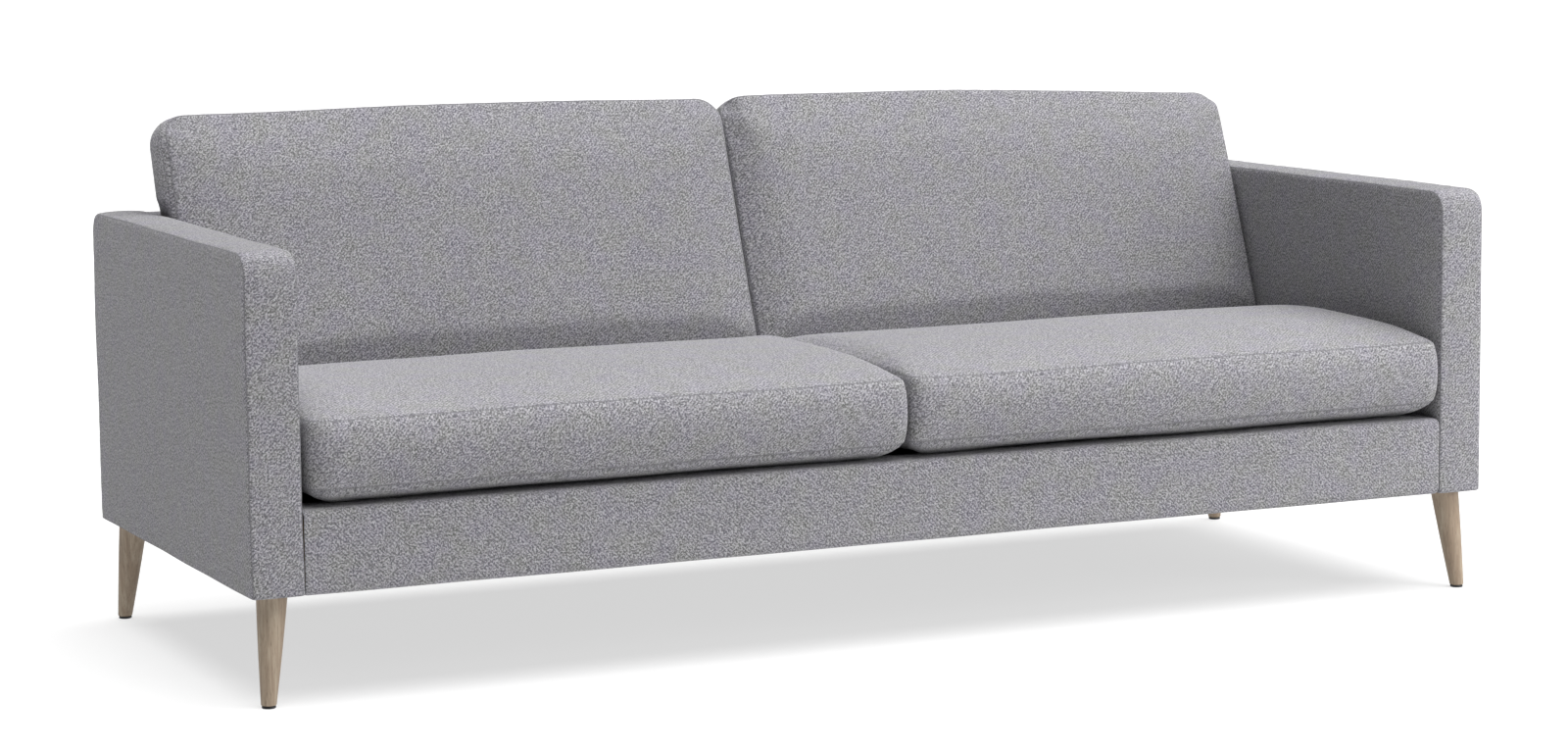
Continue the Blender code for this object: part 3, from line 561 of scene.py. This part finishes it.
backCushion = {
    **sewnPiece, "halfA": 0.4855, "halfB": 0.2648, "halfC": 0.0395,
    # from the foot of the rear face to the middle, up the lean and out of it
    "alongMiddle": 0.2768, "thickMiddle": 0.0515,
    "foot": (0.188, 0.293), "lean": math.radians(21),
    "cornerRadii": {"left": (0.012, 0.012, 0.036, 0.036), "right": (0.012, 0.012, 0.036, 0.036)},
    "bandBulge": {"left": (0.016, 0.009, 0.008, 0.003), "right": (0.004, 0.001, 0.008, 0.003)},
    "bandPower": 2.2,
    # the top edge and the right cushion's inner end roll away from the front
    "tucks": {"left": ((1, 1, 0.24, 0.032),), "right": ((1, 1, 0.24, 0.032), (0, -1, 0.50, 0.022))},
    "topRise": (0.006, 30, 14, 14, 0.004), "bottomRise": (0.024, 26, 5, 5, 0.0),
    "waveSize": 0.32, "cap": 0.005,
    # where the frame's top ends, how far the back spills over it, and the height in which it does so
    "frameEdge": 0.385, "overFrame": 0.013, "spill": 0.055, "frameSoft": 0.002,
    "topLine": {"left": (0.0, -0.002, 0.005), "right": (-0.015, -0.013, 0.010)},
    "foamInset": 0.012, "fill": 0.8,
}
# planes that cushions are pressed against; the arms' holds below armTop only, and the rest at every height
cushionLimits = {
    "seatInner": {"left": -0.0008, "right": 0.0008},
    "backInner": {"left": 0.0015, "right": 0.0055},
    "armSide": 0.9842, "armTop": 0.672, "deck": 0.2925, "seatRear": 0.1435, "backFront": 0.1450,
    "everyHeight": 9,
}


def cushionPlanes(side, cushion, inside=0.0):
    # (direction, level, top) of each plane round a cushion, moved in by inside for its foam
    s, sign = cushionLimits, sideSigns[side]
    high = s["everyHeight"]
    planes = [((-sign, 0, 0), -sign * s[cushion + "Inner"][side], high), ((sign, 0, 0), s["armSide"], s["armTop"]),
              ((0, 0, -1), -s["deck"], high),
              ((0, 1, 0), s["seatRear"], high) if cushion == "seat" else ((0, -1, 0), -s["backFront"], high)]
    return [(direction, level - inside, top) for direction, level, top in planes]


def onFrame(points, inside=0.0):
    # the rear face lies on the frame and swells past it above: c stays over -overFrame smoothstep(height
    # past the edge / spill), and the foam's face stays farther inside
    s = backCushion
    past = np.clip((points[:, 1] + s["alongMiddle"] - s["frameEdge"]) / s["spill"], 0, 1)
    level = inside - s["thickMiddle"] - s["overFrame"] * past ** 2 * (3 - 2 * past)
    soft = s["frameSoft"]
    return np.column_stack([points[:, :2], level + soft * np.logaddexp(0, (points[:, 2] - level) / soft)])


# turns a back cushion's (a, b, c) into the sofa's (x, y, z)
leanTurn = np.array([[1, 0, 0],
                     [0, math.sin(backCushion["lean"]), -math.cos(backCushion["lean"])],
                     [0, math.cos(backCushion["lean"]), math.sin(backCushion["lean"])]])
footPoint = np.array([0.0, *backCushion["foot"]])


# foam is cut smooth: wide rows, no seams
foamLook = {"spacing": 0.030, "seamRows": (0.006, 0.016), "seamDepth": 0.0, "pucker": 0.0, "waveAmount": 0.0}


def fitCushion(side, cushion, s, place, turn, rest=None, alsoHeld=None):
    # a cover with its thread, partly painted seam shade, and the foam block in it: the same form with every size
    # smaller by the inset
    body, name = f"{side}_{cushion}_cushion", side + cushion.capitalize()
    cover = boxedPiece(name + "Cushion", s, place, turn, cushionPlanes(side, cushion), rest, alsoHeld)
    register(cover, body, "upholstery", body + "_cover", fill=s["fill"])
    register(seamThreadAndShade(name + "CushionThreadAndShade", cover, s), body, "upholstery")
    inset, clear = s["foamInset"], s["foamClear"]
    smaller = {"halfA": s["halfA"] - inset, "halfB": s["halfB"] - inset, "halfC": s["halfC"] - inset / 2}
    core = boxedPiece(name + "Foam", {**s, **smaller, **foamLook}, place, turn, cushionPlanes(side, cushion, clear),
                      rest and (lambda points: rest(points, clear)), material=finishes["foam"], simulate=False)
    register(core, body, "foam", body + "_core", fill=1.0)


def zipStrip(flat):
    # the middle of the seat cushion's rear, which its zip keeps flat
    return (flat[:, 1] > seatCushion["halfB"] - 1e-6) & (np.abs(flat[:, 2]) < seatCushion["rearHeld"])


for number, (side, sign) in enumerate(sideSigns.items()):
    middle = np.array(seatCushion["centre"]) * (sign, 1, 1)
    s = {**seatCushion, "seed": 11 + number,
         **{key: seatCushion[key][side] for key in ("cornerRadii", "topRise")}}
    fitCushion(side, "seat", s, middle, np.eye(3), alsoHeld=zipStrip)
    s = {**backCushion, "seed": 31 + number,
         **{key: backCushion[key][side] for key in ("cornerRadii", "bandBulge", "topLine", "tucks")}}
    place = footPoint + leanTurn @ np.array([middle[0], s["alongMiddle"], s["thickMiddle"]])
    fitCushion(side, "back", s, place, leanTurn, rest=onFrame)
print("cushions ready")


arm = {
    **sewnPiece, "halfA": 0.418, "halfB": 0.2525, "halfC": 0.0403,
    "centre": (1.0283, 0.0, 0.4180), "spacing": 0.012,
    "cornerRadii": (0.004, 0.004, 0.034, 0.034),
    "bandBulge": (0.002, 0.002, 0.0, 0.0035), "bandPower": 2.2, "bandUpright": True,
    "topRise": (0.002, 34, 22, 22, 0.0), "bottomRise": (0.002, 34, 22, 22, 0.0),
    "waveSize": 0.28, "waveAmount": 0.0005,
    "seamDepth": 0.0010, "seamWidth": 0.0026, "puckerLength": 0.035, "fill": 1.0,
}
# turns an arm's (a, b, c) into the sofa's (x, y, z)
armTurn = np.array([[0, 0, 1], [1, 0, 0], [0, 1, 0]])
for number, (side, sign) in enumerate(sideSigns.items()):
    s = {**arm, "seed": 51 + number}
    place = (sign * arm["centre"][0], *arm["centre"][1:])
    cover = boxedPiece(side + "Arm", s, place, armTurn, simulate=False)
    register(cover, "sofa_frame", "upholstery", side + "_arm_cover", side + "_arm_padding", fill=s["fill"])
    register(seamThreadAndShade(side + "ArmThreadAndShade", cover, s), "sofa_frame", "upholstery")
print("arms ready")


def arcPoints(centre, radius, start, end, count):
    # points on a round corner, from one angle in degrees to another
    turn = np.radians(np.linspace(start, end, count))
    return np.column_stack([centre[0] + radius * np.cos(turn), centre[1] + radius * np.sin(turn)])


endRows = (0, 0.15, 0.4, 0.7, 1.0)     # where the rows beside a cloth's ends lie, as shares of their width


def sweptCloth(name, corners, s):
    # a bent sheet stretched over a frame: a (y, z) outline carried along X. Outline points lie every few
    # millimetres; p(x, t) = outline(t) + outward(t) (pillow (1 - |x / X| ^ 12)(1 - |2 t / T - 1| ^ 3)
    # - tuck at the ends - sink at the seams + a slow wave)
    outline = np.concatenate([np.atleast_2d(part) for part in corners])
    reach = np.concatenate([[0], np.cumsum(np.linalg.norm(np.diff(outline, axis=0), axis=1))])
    count = round(reach[-1] / s["spacing"])
    at = np.unique(np.concatenate([np.linspace(0, reach[-1], count + 1), reach]))
    at = at[np.concatenate([[True], np.diff(at) > 1e-5])]
    line = np.column_stack([np.interp(at, reach, outline[:, k]) for k in range(2)])
    ahead = np.gradient(line, at, axis=0)
    ahead /= np.linalg.norm(ahead, axis=1)[:, None]
    outward = s["turnSign"] * np.column_stack([ahead[:, 1], -ahead[:, 0]])
    edge = s["endRadius"]
    steps = np.array(endRows) * edge
    inner = np.linspace(-s["half"] + edge, s["half"] - edge, round(2 * s["half"] / s["spacing"]))
    stations = np.concatenate([-s["half"] + steps[:-1], inner, s["half"] - steps[:-1][::-1]])
    fromEnd = np.clip((s["half"] - np.abs(stations)) / edge, 0, 1)
    tuck = s["endTuck"] * (1 - np.sqrt(1 - (1 - fromEnd) ** 2))
    pillow = s["pillow"] * (1 - np.abs(2 * at / reach[-1] - 1) ** 3)
    level = 1 - np.abs(stations / s["half"]) ** 12
    seamAway = np.min([np.abs(stations - x) for x in s["seams"]] or [np.ones_like(stations)], axis=0)
    sink = s["seamDepth"] * np.exp(-(seamAway / s["seamWidth"]) ** 2)
    shift = level[:, None] * pillow[None, :] - tuck[:, None] - sink[:, None]
    flat = np.stack(np.meshgrid(stations, at, indexing="ij"), -1)
    wave = handmade(np.column_stack([flat.reshape(-1, 2), np.zeros(flat[..., 0].size)]), s["seed"],
                    s["waveSize"], s["waveAmount"])[:, 0].reshape(shift.shape)
    place = line[None] + outward[None] * (shift + wave * fromEnd[:, None])[..., None]
    points = np.concatenate([flat[..., :1], place], -1)
    index = np.arange(flat[..., 0].size).reshape(shift.shape)
    quads = gridQuads(index)
    if s["turnSign"] > 0:
        quads = quads[:, ::-1]
    cloth = flat.reshape(-1, 2)[quads]
    # painted shade: the seam attribute darkens the cloth's colour in each seam's groove
    seam = np.exp(-(seamAway / s["seamShade"]) ** 2)[:, None] * np.ones_like(shift)
    piece = makePiece(name, points.reshape(-1, 3), quads, finishes[s["finish"]], cloth, seam=seam.ravel())
    wall = piece.modifiers.new("Wall", "SOLIDIFY")
    wall.thickness = s["wall"]
    wall.offset = -1
    applyModifiers(piece)
    return piece, (2 * s["half"], float(reach[-1]))


# what the stretched cloths share, in metres
stretchedCloth = {
    "half": 0.9872, "spacing": 0.012, "endRadius": 0.005, "endTuck": 0.0018, "pillow": 0.0, "wall": 0.0025,
    "turnSign": -1, "finish": "upholstery",
    "seams": (), "seamDepth": 0.0, "seamWidth": 0.002, "seamShade": 0.0018,
}
frontRail = {
    **stretchedCloth, "spacing": 0.010, "pillow": 0.0012, "turnSign": 1,
    "front": -0.4195, "rear": -0.345, "under": -0.3925, "top": 0.292, "bottom": 0.1650, "radius": 0.012,
    "waveSize": 0.3, "waveAmount": 0.0005, "seed": 61,
}
s = frontRail
railCover, railFlat = sweptCloth("frontRailCover", [
    (s["rear"], s["top"]),
    arcPoints((s["front"] + s["radius"], s["top"] - s["radius"]), s["radius"], 90, 180, 9),
    arcPoints((s["front"] + s["radius"], s["bottom"] + s["radius"]), s["radius"], 180, 270, 9),
    (s["under"], s["bottom"])], s)
register(railCover, "sofa_frame", "upholstery", "front_rail_cover")

backWrap = {
    **stretchedCloth,
    "foot": 0.1950, "deck": 0.293, "lean": math.radians(21), "top": 0.668, "rear": 0.4195, "bottom": 0.1685,
    "topRadius": 0.016, "bottomRadius": 0.010, "under": 0.4055,
    "seams": (0.0,), "seamDepth": 0.0012, "seamWidth": 0.003,
    "waveSize": 0.35, "waveAmount": 0.0010, "seed": 62,
}
s = backWrap
frontAtTop = s["foot"] + (s["top"] - s["deck"]) * math.tan(s["lean"])
frontReach = s["topRadius"] * math.tan((math.pi / 2 - s["lean"]) / 2)
backOutline = [
    (s["foot"], s["deck"]),
    arcPoints((frontAtTop + frontReach, s["top"] - s["topRadius"]), s["topRadius"],
              180 - math.degrees(s["lean"]), 90, 8),
    arcPoints((s["rear"] - s["topRadius"], s["top"] - s["topRadius"]), s["topRadius"], 90, 0, 8),
    arcPoints((s["rear"] - s["bottomRadius"], s["bottom"] + s["bottomRadius"]), s["bottomRadius"], 0, -90, 7),
    (s["under"], s["bottom"])]
backCover, backFlat = sweptCloth("backCover", backOutline, s)
register(backCover, "sofa_frame", "upholstery", "back_cover")

# the cloth over the springs sags under the cushions; the one below hangs slack between its tacks
deckCloth = {
    **stretchedCloth, "name": "seatDeckCloth", "standsFor": "seat_deck_cloth",
    "restsOn": ["left_seat_springs", "right_seat_springs"],
    "half": 0.985, "spacing": 0.020, "endTuck": 0.0, "pillow": -0.0030, "wall": 0.0012, "finish": "lining",
    "front": -0.3446, "rear": 0.1925, "level": 0.2903,
    "waveSize": 0.25, "waveAmount": 0.0006, "seed": 63,
}
dustCloth = {
    **deckCloth, "name": "dustCover", "standsFor": "dust_cover",
    "restsOn": ["seat_front_rail", "seat_rear_rail"],
    "turnSign": 1, "front": -0.3905, "rear": 0.404, "level": 0.1662, "wall": 0.0008,
    "pillow": 0.0035, "waveSize": 0.22, "waveAmount": 0.0009, "seed": 64,
}
for s in (deckCloth, dustCloth):
    cloth, flat = sweptCloth(s["name"], [(s["front"], s["level"]), (s["rear"], s["level"])], s)
    register(cloth, "sofa_frame", "lining", s["standsFor"])
print("covers and lining cloths ready")


leg = {
    "topCentre": (1.026, 0.3765), "footCentre": (1.041, 0.395), "top": 0.1676, "foot": 0.0044,
    "topRadius": 0.0235, "footRadius": 0.0115, "edge": 0.0012, "sides": 96, "rows": 28,
    "belly": 0.0006,           # how far the turned side swells past a straight cone, midway
}


def turnedLeg(name, side, end):
    # a sheared surface of revolution: at the share h of its height a ring has the radius
    # foot + (top - foot) h + belly sin(pi h), with both rims rounded, and its centre is on the line from
    # the foot's centre to the top's
    s = leg
    length = s["top"] - s["foot"]
    turn = np.linspace(0, math.pi / 2, 6)
    low = np.column_stack([s["edge"] * (1 - np.cos(turn)), s["edge"] * (np.sin(turn) - 1)])
    body = np.linspace(s["edge"], length - s["edge"], s["rows"])[1:-1]
    body = np.column_stack([body, np.zeros_like(body)])
    high = np.column_stack([length - low[::-1, 0], low[::-1, 1]])
    rows = np.concatenate([low, body, high])
    share = rows[:, 0] / length
    radius = s["footRadius"] + (s["topRadius"] - s["footRadius"]) * share + s["belly"] * np.sin(math.pi * share)
    radius = radius + rows[:, 1]
    caps = [np.linspace(0.0, 1, 4)[1:-1] * radius[0], np.linspace(1, 0.0, 4)[1:-1] * radius[-1]]
    radius = np.concatenate([caps[0], radius, caps[1]])
    share = np.concatenate([np.zeros(2), share, np.ones(2)])
    around = np.arange(s["sides"]) * 2 * math.pi / s["sides"]
    middle = np.array(s["footCentre"]) + share[:, None] * (np.array(s["topCentre"]) - np.array(s["footCentre"]))
    middle = middle * np.array([sideSigns[side], endSigns[end]])
    ring = radius[:, None, None] * np.stack([np.cos(around), np.sin(around)], -1)[None]
    level = (s["foot"] + share * length)[:, None, None] * np.ones((1, s["sides"], 1))
    points = np.concatenate([middle[:, None] + ring, level], -1).reshape(-1, 3)
    index = np.arange(len(points)).reshape(-1, s["sides"])
    ends = [index[0][::-1].tolist(), index[-1].tolist()]
    return makePiece(name, points, ringQuads(index).tolist() + ends, finishes["soaped_oak"])


for end in endSigns:
    for side in sideSigns:
        made = turnedLeg(f"{end}{side.capitalize()}Leg", side, end)
        register(made, "sofa_frame", "soaped_oak", f"{end}_{side}_leg")
print("legs ready")


# half sizes are (along, out, across); Out is how far a part stands out, and From how far along it is
zipFastener = {
    "length": 0.80, "tape": (0.0004, 0.0036),          # the tape's half thickness and half width
    "pitch": 0.0030, "tooth": (0.0006, 0.0006, 0.0011), "teethOut": 0.0009, "stagger": 0.0006,
    "teethFrom": 0.012, "teethShort": 0.006,
    "slider": (0.0062, 0.0011, 0.0030), "sliderOut": 0.0014, "sliderFrom": 0.0120,
    "tab": (0.0085, 0.00035, 0.0021), "tabOut": 0.0029, "tabFrom": 0.0075,
    # cushion: place of the zip's middle in (y, z), its outward direction in (y, z)
    "seat": ((0.1352, 0.3720), (1.0, 0.0)),
    "back": ((0.2097, 0.3495), (math.cos(backCushion["lean"]), -math.sin(backCushion["lean"]))),
}


def pebbles(centres, half, square, rings, sides):
    # boxes with round edges, one at each centre, with the half sizes (A, B, C):
    # p = (A s(v), B c(v) c(u), C c(v) s(u)), where s and c are the sine and cosine with their size raised to
    # square, and v goes from pole to pole along x; flat caps close the poles
    def squared(values):
        return np.sign(values) * np.abs(values) ** square

    rise = np.linspace(-1, 1, rings + 2)[1:-1] * math.pi / 2
    around = np.arange(sides) * 2 * math.pi / sides + math.pi / sides
    along, wide = squared(np.sin(rise))[:, None], squared(np.cos(rise))[:, None]
    form = np.stack([half[0] * along * np.ones(sides),
                     half[1] * wide * squared(np.cos(around)),
                     half[2] * wide * squared(np.sin(around))], -1).reshape(-1, 3)
    index = np.arange(rings * sides).reshape(rings, sides)
    shift = (np.arange(len(centres)) * len(form))[:, None, None]
    faces = (ringQuads(index) + shift).reshape(-1, 4).tolist()
    for cap in (index[0][::-1], index[-1]):
        faces += (cap + shift[:, :, 0]).tolist()
    return (form + np.asarray(centres)[:, None]).reshape(-1, 3), faces


def joined(parts):
    # several (points, faces) as one
    points, faces = [], []
    for more, moreFaces in parts:
        start = sum(len(p) for p in points)
        faces += [[corner + start for corner in face] for face in moreFaces]
        points.append(more)
    return np.concatenate(points), faces


def fitZip(cushion, side, sign):
    # the tape, its teeth and the slider of one cushion; local (along, out, across) is carried to the sofa's
    # (x, y, z)
    s = zipFastener
    (midY, midZ), (outY, outZ) = s[cushion]
    body = f"{side}_{cushion}_cushion"
    name = f"{side}{cushion.capitalize()}"

    def carried(points):
        along, out, across = points.T
        return np.column_stack([sign * (along + seatCushion["centre"][0]), midY + out * outY - across * outZ,
                                midZ + out * outZ + across * outY])

    def placed(label, parts, finish):
        points, faces = joined(parts)
        if sign > 0:
            faces = [face[::-1] for face in faces]
        return makePiece(name + label, carried(points), faces, finish)

    start = -s["length"] / 2
    tape = placed("ZipTape", [pebbles([(0, 0, 0)], (s["length"] / 2, *s["tape"]), 0.25, 24, 24)],
                  finishes["zip_tape"])
    register(tape, body, "zip_tape", body + "_zip")
    along = np.arange(start + s["teethFrom"], -start - s["teethShort"], s["pitch"])
    across = np.where(np.arange(len(along)) % 2 == 0, 1, -1) * s["stagger"]
    teeth = placed("ZipTeeth", [pebbles(np.column_stack([along, np.full_like(along, s["teethOut"]), across]),
                                        s["tooth"], 0.6, 4, 6)], finishes["steel"])
    register(teeth, body, "zip_tape")
    at = start + s["sliderFrom"]
    slider = placed("ZipSlider", [pebbles([(at, s["sliderOut"], 0)], s["slider"], 0.45, 8, 12),
                                  pebbles([(at + s["tabFrom"], s["tabOut"], 0)], s["tab"], 0.5, 10, 12)],
                    finishes["steel"])
    register(slider, body + "_slider", "steel", body + "_zip_slider")


for side, sign in sideSigns.items():
    fitZip("seat", side, sign)
    fitZip("back", side, sign)
print("zips ready")


# turn is the tilt, the heading and the roll in degrees
view = {"lens": 89.93, "sensor": 36, "place": (-2.7013, -5.8390, 1.2109), "turn": (82.636, -24.648, -0.634),
        "nearest": 0.1, "farthest": 200}
camera = bpy.data.objects.new("camera", bpy.data.cameras.new("camera"))
camera.data.lens, camera.data.sensor_width = view["lens"], view["sensor"]
camera.data.clip_start, camera.data.clip_end = view["nearest"], view["farthest"]
tilt, heading, roll = (math.radians(angle) for angle in view["turn"])
camera.matrix_world = (Matrix.Translation(view["place"]) @ Matrix.Rotation(heading, 4, "Z")
                       @ Matrix.Rotation(tilt, 4, "X") @ Matrix.Rotation(roll, 4, "Z"))
scene.collection.objects.link(camera)
scene.camera = camera
scene.view_settings.view_transform = "Standard"

studio = {
    "floorSize": 140.0,
    "floorColour": "9C9C9C", "floorGlow": 0.64,
    "room": (0.03, 0.03, 0.03),
    # wide light from above: turn about X and Z and its angle across in degrees, and its strength
    "overhead": {"tip": 12, "heading": 60, "across": 70, "strength": 5.7},
    # a soft box in front on the right: place, aim, size across in metres, power in watts
    "softBox": {"place": (2.6, -2.6, 1.3), "aim": (0.6, 0.0, 0.4), "across": 1.6, "power": 56.0},
}
floorMesh = bpy.data.meshes.new("floor")
half = studio["floorSize"] / 2
floorMesh.from_pydata([(-half, -half, 0), (half, -half, 0), (half, half, 0), (-half, half, 0)], [],
                      [(0, 1, 2, 3)])
floor = bpy.data.objects.new("floor", floorMesh)
scene.collection.objects.link(floor)
# painted studio floor: white, matt, lit from within a little so that its shadows stay pale
floorFinish, floorTree, floorShader = newMaterial("mattPaintedFloor", 0.9, specular=0.1)
floorShader.inputs["Base Color"].default_value = hexColour(studio["floorColour"])
floorShader.inputs["Emission Color"].default_value = (1, 1, 1, 1)
floorShader.inputs["Emission Strength"].default_value = studio["floorGlow"]
floorMesh.materials.append(floorFinish)

world = bpy.data.worlds.new("room")
scene.world = world
world.use_nodes = True
roomLight = world.node_tree.nodes["Background"]
roomLight.inputs["Color"].default_value = (*studio["room"], 1)
# the room lights the sofa dimly, and a paper backdrop beyond the floor is seen as white
paper = node(world.node_tree, "ShaderNodeBackground", {"Color": (1, 1, 1, 1)}).outputs[0]
seen = node(world.node_tree, "ShaderNodeLightPath").outputs["Is Camera Ray"]
both = node(world.node_tree, "ShaderNodeMixShader", {0: seen, 1: roomLight.outputs[0], 2: paper})
world.node_tree.links.new(both.outputs[0], world.node_tree.nodes["World Output"].inputs["Surface"])
sun = studio["overhead"]
light = bpy.data.lights.new("overhead", "SUN")
light.energy, light.angle = sun["strength"], math.radians(sun["across"])
lamp = bpy.data.objects.new("overhead", light)
lamp.matrix_world = (Matrix.Rotation(math.radians(sun["heading"]), 4, "Z")
                     @ Matrix.Rotation(math.radians(sun["tip"]), 4, "X"))
scene.collection.objects.link(lamp)
box = studio["softBox"]
light = bpy.data.lights.new("softBox", "AREA")
light.energy, light.size = box["power"], box["across"]
lamp = bpy.data.objects.new("softBox", light)
lamp.matrix_world = Matrix.Translation(box["place"]) @ (
    (Vector(box["place"]) - Vector(box["aim"])).to_track_quat("Z", "Y").to_matrix().to_4x4())
scene.collection.objects.link(lamp)
print("studio ready")
